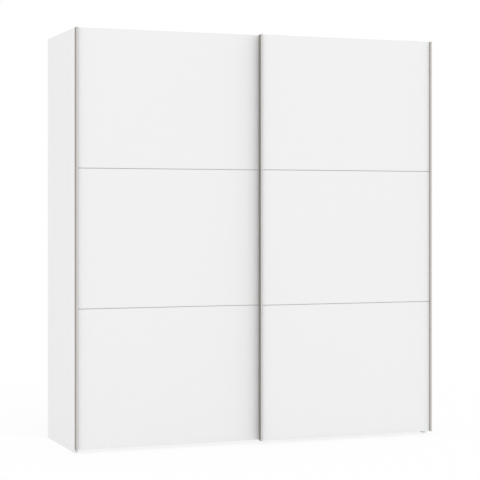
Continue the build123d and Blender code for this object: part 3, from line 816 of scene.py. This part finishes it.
for door in DOORS:
    dress(zinc_plated, f"{door}_hanger_left", f"{door}_hanger_right")
    dress(zinc_plated, f"{door}_guide_left", f"{door}_guide_right")
    door_screws = bmesh.new()
    for low, high in solids_in(f"{door}_screws"):
        middle = (low + high) / 2
        radius = BORE_FLAT * (high.x - low.x) / 2
        long = high.y - low.y
        outline = [
            (-long, 0),
            (SHANK_RADIUS - long, SHANK_RADIUS),
            (-STRIP_STEEL, SHANK_RADIUS),
            (-SCREW_BREAK, radius - SCREW_BREAK),
            (0, radius - 2 * SCREW_BREAK),
            (0, SCREW_LAND * radius),
            (0, cross(radius)),
            (-SCREW_RECESS, cross(SCREW_RECESS_FLOOR * radius)),
            (-SCREW_RECESS - SCREW_BREAK, 0),
        ]
        turn(door_screws, (middle.x, high.y, middle.z), BACKWARDS, outline, HEAD_SIDES)
    new_piece(f"{door}_screws_turned", door_screws, zinc_plated, "bright_steel", door, f"{door}_screws")

# Rollers
# Each hanger carries a nylon roller on a ball bearing. Its axle is turned steel with a shoulder and a head,
# and is riveted into the hanger.
NYLON = (0.78, 0.775, 0.74, 1)
NYLON_ROUGHNESS = (0.36, 0.5)
NYLON_MARK_SIZE = 0.0009
NYLON_RELIEF = 0.000012
NYLON_MILK_SIZE = 0.008
NYLON_SHADE = 0.95
NYLON_DEPTH = 0.002
NYLON_DEPTH_SHARE = 0.12
TYRE_ROUND = 0.0014
TYRE_ROUND_MIDDLE = 0.3  # how far the middle of the tyre's rounding is cut back, over its size
TYRE_SIDES = 64
BEARING_RADIUS = 0.0070
BEARING_BORE = 0.0031
BEARING_SUNK = 0.0004
BEARING_SIDES = 48
SHIELD_OUTER = 0.0057
SHIELD_INNER = 0.0043
SHIELD_SUNK = 0.0009
AXLE_RADIUS = 0.003
AXLE_SHOULDER = 0.0049
AXLE_PLAY = 0.0003
AXLE_HEAD = 0.002
AXLE_BREAK = 0.0005
AXLE_SIDES = 32


def natural_nylon():
    """Natural nylon, slightly milky, with fine machining marks."""
    finish = new_finish("nylon")
    place = place_on(finish)
    marks = grain(finish, place, NYLON_MARK_SIZE)
    milk = grain(finish, place, NYLON_MILK_SIZE)
    coat(
        finish,
        {
            "Base Color": tint(finish, milk, shaded(NYLON, NYLON_SHADE), NYLON),
            "Roughness": spread(finish, marks, *NYLON_ROUGHNESS),
            "Subsurface Weight": NYLON_DEPTH_SHARE,
            "Subsurface Scale": NYLON_DEPTH,
            "Normal": relief(finish, spread(finish, marks, 0.0, NYLON_RELIEF)),
        },
    )
    return finish


def closed_ring(front):
    """A ring's outline from the (depth, radius) points of its front, mirrored to its back and closed."""
    outline = front + [(-along, radius) for along, radius in reversed(front)]
    return outline + outline[:1]


nylon = natural_nylon()
for door in DOORS:
    for end in ("left", "right"):
        wheel = f"{door}_wheel_{end}"
        low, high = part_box(wheel)
        middle = (low + high) / 2
        half = (high.y - low.y) / 2
        rim = (high.x - low.x) / 2
        cut_back = TYRE_ROUND_MIDDLE * TYRE_ROUND
        tyre_front = [
            (half, BEARING_RADIUS),
            (half, rim - TYRE_ROUND),
            (half - cut_back, rim - cut_back),
            (half - TYRE_ROUND, rim),
        ]
        tyre = bmesh.new()
        turn(tyre, middle, BACKWARDS, closed_ring(tyre_front), TYRE_SIDES)
        new_piece(f"{wheel}_tyre", tyre, nylon, "nylon", wheel, wheel)
        face = half - BEARING_SUNK
        shield = half - SHIELD_SUNK
        bearing_front = [
            (face, BEARING_RADIUS),
            (face, SHIELD_OUTER),
            (shield, SHIELD_OUTER),
            (shield, SHIELD_INNER),
            (face, SHIELD_INNER),
            (face, BEARING_BORE),
        ]
        bearing = bmesh.new()
        turn(bearing, middle, BACKWARDS, closed_ring(bearing_front), BEARING_SIDES)
        new_piece(f"{wheel}_bearing", bearing, bright_steel, "bright_steel", wheel)
    low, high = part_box(f"{door}_wheel_left")
    lane = (low.y + high.y) / 2
    journal = (high.y - low.y) / 2 + AXLE_PLAY
    axles = bmesh.new()
    for low, high in solids_in(f"{door}_axles"):
        middle = (low + high) / 2
        tenon = low.y + AXLE_PLAY - lane
        seat = low.y + STRIP_STEEL - lane
        outline = [
            (tenon, 0),
            (tenon, AXLE_RADIUS),
            (seat, AXLE_RADIUS),
            (seat, AXLE_SHOULDER),
            (-journal, AXLE_SHOULDER),
            (-journal, AXLE_RADIUS),
            (journal, AXLE_RADIUS),
            (journal, AXLE_SHOULDER),
            (journal + AXLE_HEAD - AXLE_BREAK, AXLE_SHOULDER),
            (journal + AXLE_HEAD, AXLE_SHOULDER - AXLE_BREAK),
            (journal + AXLE_HEAD, 0),
        ]
        turn(axles, (middle.x, lane, middle.z), BACKWARDS, outline, AXLE_SIDES)
    new_piece(f"{door}_axles_turned", axles, bright_steel, "bright_steel", door, f"{door}_axles")

# Guide sliders
# Moulded nylon blocks with rounded edges stand on the tabs of the guide brackets, and run in the lanes of the
# guide rail. They keep the feet of the doors from swinging.
SLIDER_ROUND = 0.0025

for door in DOORS:
    sliders = bmesh.new()
    for low, high in solids_in(f"{door}_guide_sliders"):
        rounded_block(sliders, low, high, SLIDER_ROUND)
    new_piece(f"{door}_guide_sliders_moulded", sliders, nylon, "nylon", door, f"{door}_guide_sliders")

# Dust seal
# A strip of grey brush pile, woven on a thin carrier, is glued behind the inner edge of the outer door. It
# closes the gap between the two doors and stops short of the inner one.
PILE_GREY = (0.26, 0.26, 0.265, 1)
PILE_ROUGHNESS = (0.85, 0.95)
PILE_SHEEN = 0.3
PILE_SHADE = 0.6
PILE_RELIEF = 0.0001
STRAND_SIZE = 0.0008
STRAND_DETAIL = 3.0
STRAND_SQUEEZE = (1, 0.1, 1)
CARRIER_THICK = 0.0009
CARRIER_ROUND = CARRIER_THICK / 4
TUFT_PITCH = 0.0036
TUFT_COLUMNS = 3
TUFT_FILL = 0.48  # half the width of a tuft's foot, over the pitch
TUFT_TIP = 0.35  # width of a tuft's tip, over its foot's
TUFT_LEAN = 0.3 * TUFT_PITCH
TUFT_LEAN_STEPS = (2.1, 1.7)  # steps of phase from row to row and from column to column, in radians
TUFT_RAGGED = 0.07  # how much the tufts' lengths differ
TUFT_RAGGED_STEPS = (3.7, 2.3)


def pile():
    """Grey brush pile with fine upright strands."""
    finish = new_finish("seal_pile")
    strands = grain(finish, place_on(finish, STRAND_SQUEEZE), STRAND_SIZE, STRAND_DETAIL)
    coat(
        finish,
        {
            "Base Color": tint(finish, strands, shaded(PILE_GREY, PILE_SHADE), PILE_GREY),
            "Roughness": spread(finish, strands, *PILE_ROUGHNESS),
            "Sheen Weight": PILE_SHEEN,
            "Normal": relief(finish, spread(finish, strands, 0.0, PILE_RELIEF)),
        },
    )
    return finish


def tuft(form, foot, half_width, half_height, reach, lean):
    """Add one tuft of pile that tapers from its foot to a leaning tip."""
    base = []
    tip = []
    for step_x, step_z in ((-1, -1), (1, -1), (1, 1), (-1, 1)):
        x = step_x * half_width
        z = step_z * half_height
        base.append(form.verts.new(foot + Vector((x, 0, z))))
        tip.append(form.verts.new(foot + Vector((TUFT_TIP * x, reach, lean + TUFT_TIP * z))))
    form.faces.new(tip)
    form.faces.new(list(reversed(base)))
    for side in range(4):
        after = (side + 1) % 4
        form.faces.new([base[side], base[after], tip[after], tip[side]])


def phase(steps, along, across):
    """The phase of a tuft's wave, from its row and column."""
    along_step, across_step = steps
    return along_step * along + across_step * across


seal = bmesh.new()
low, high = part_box("right_door_dust_seal")
carrier_top = low.y + CARRIER_THICK
rounded_block(seal, low, Vector((high.x, carrier_top, high.z)), CARRIER_ROUND)
rows = int((high.z - low.z) / TUFT_PITCH)
column_width = (high.x - low.x) / TUFT_COLUMNS
for along in range(rows):
    for across in range(TUFT_COLUMNS):
        foot = Vector((low.x, carrier_top, low.z))
        foot += Vector(((across + 0.5) * column_width, 0, (along + 0.5) * TUFT_PITCH))
        lean = TUFT_LEAN * math.sin(phase(TUFT_LEAN_STEPS, along, across))
        ragged = TUFT_RAGGED * math.cos(phase(TUFT_RAGGED_STEPS, along, across))
        reach = (high.y - foot.y) * (1 - TUFT_RAGGED + ragged)
        tuft(seal, foot, TUFT_FILL * column_width, TUFT_FILL * TUFT_PITCH, reach, lean)
new_piece("dust_seal_pile", seal, pile(), "seal_pile", "right_door", "right_door_dust_seal")

# Floor and light
# A plain white floor and an even white surround light the wardrobe softly from all sides, with a weak broad
# lamp in front. The floor glows a little, and more where it is looked at, so that it shows as white with a
# shadow.
WHITE = (1, 1, 1, 1)
FLOOR_SPAN = 40.0
FLOOR_PAINT = (0.9, 0.9, 0.9, 1)
FLOOR_GLOW = 1.015
FLOOR_GLOW_SEEN = 0.85
FLOOR_GLOW_LEAST = 0.35
SURROUND_STRENGTH = 1.0
LAMP_STRENGTH = 0.1
LAMP_WIDTH = math.radians(80)
LAMP_TILT = math.radians(60)
LAMP_TURN = math.radians(10)


def floor_paint():
    """White paint that glows for the camera, and for what is seen in metal or through glass."""
    finish = new_finish("floor_white")
    camera_ray = add_node(finish, "LightPath", {}, "Is Camera Ray")
    glossy_ray = add_node(finish, "LightPath", {}, "Is Glossy Ray")
    passed_ray = add_node(finish, "LightPath", {}, "Is Transmission Ray")
    either = add_node(finish, "Math", {0: camera_ray, 1: glossy_ray}, operation="MAXIMUM")
    seen = add_node(finish, "Math", {0: either, 1: passed_ray}, operation="MAXIMUM")
    seen_share = add_node(finish, "Math", {0: seen, 1: FLOOR_GLOW_SEEN}, operation="MULTIPLY")
    share = add_node(finish, "Math", {0: seen_share, 1: FLOOR_GLOW_LEAST}, operation="MAXIMUM")
    paint = add_node(finish, "BsdfDiffuse", {"Color": FLOOR_PAINT})
    glow = add_node(finish, "Emission", {"Color": WHITE, "Strength": FLOOR_GLOW})
    shader = add_node(finish, "MixShader", {0: share, 1: paint, 2: glow})
    feed(finish, finish.node_tree.nodes["Material Output"], {"Surface": shader})
    return finish


floor_form = bmesh.new()
bmesh.ops.create_grid(floor_form, x_segments=1, y_segments=1, size=FLOOR_SPAN / 2)
floor_mesh = bpy.data.meshes.new("floor")
floor_form.to_mesh(floor_mesh)
floor_form.free()
floor_mesh.materials.append(floor_paint())
floor = bpy.data.objects.new("floor", floor_mesh)
bpy.context.scene.collection.objects.link(floor)

surround = bpy.data.worlds.new("white_surround")
surround.use_nodes = True
background = surround.node_tree.nodes["Background"]
background.inputs["Color"].default_value = WHITE
background.inputs["Strength"].default_value = SURROUND_STRENGTH
bpy.context.scene.world = surround

lamp_light = bpy.data.lights.new("front_lamp", "SUN")
lamp_light.energy = LAMP_STRENGTH
lamp_light.angle = LAMP_WIDTH
lamp = bpy.data.objects.new("front_lamp", lamp_light)
lamp.rotation_euler = (LAMP_TILT, 0, LAMP_TURN)
bpy.context.scene.collection.objects.link(lamp)

# Camera
# A level view from the front left, at about chest height, with the picture shifted down a little as the
# photograph is framed.
PICTURE = 480
FOCAL_PIXELS = 1529.0
HORIZON_PIXEL = 211.74
SENSOR_WIDTH = 36.0
CAMERA_REACH = 100.0
CAMERA_PLACE = (-2.9857, -7.7790, 1.2237)
CAMERA_TURN = math.radians(20.946)
LEVEL = math.radians(90)

camera_lens = bpy.data.cameras.new("camera")
camera_lens.sensor_width = SENSOR_WIDTH
camera_lens.lens = FOCAL_PIXELS / PICTURE * SENSOR_WIDTH
camera_lens.shift_y = (HORIZON_PIXEL - PICTURE / 2) / PICTURE
camera_lens.clip_end = CAMERA_REACH
camera = bpy.data.objects.new("camera", camera_lens)
camera.location = CAMERA_PLACE
camera.rotation_euler = (LEVEL, 0, -CAMERA_TURN)
bpy.context.scene.collection.objects.link(camera)
bpy.context.scene.camera = camera
bpy.context.scene.view_settings.view_transform = "Standard"
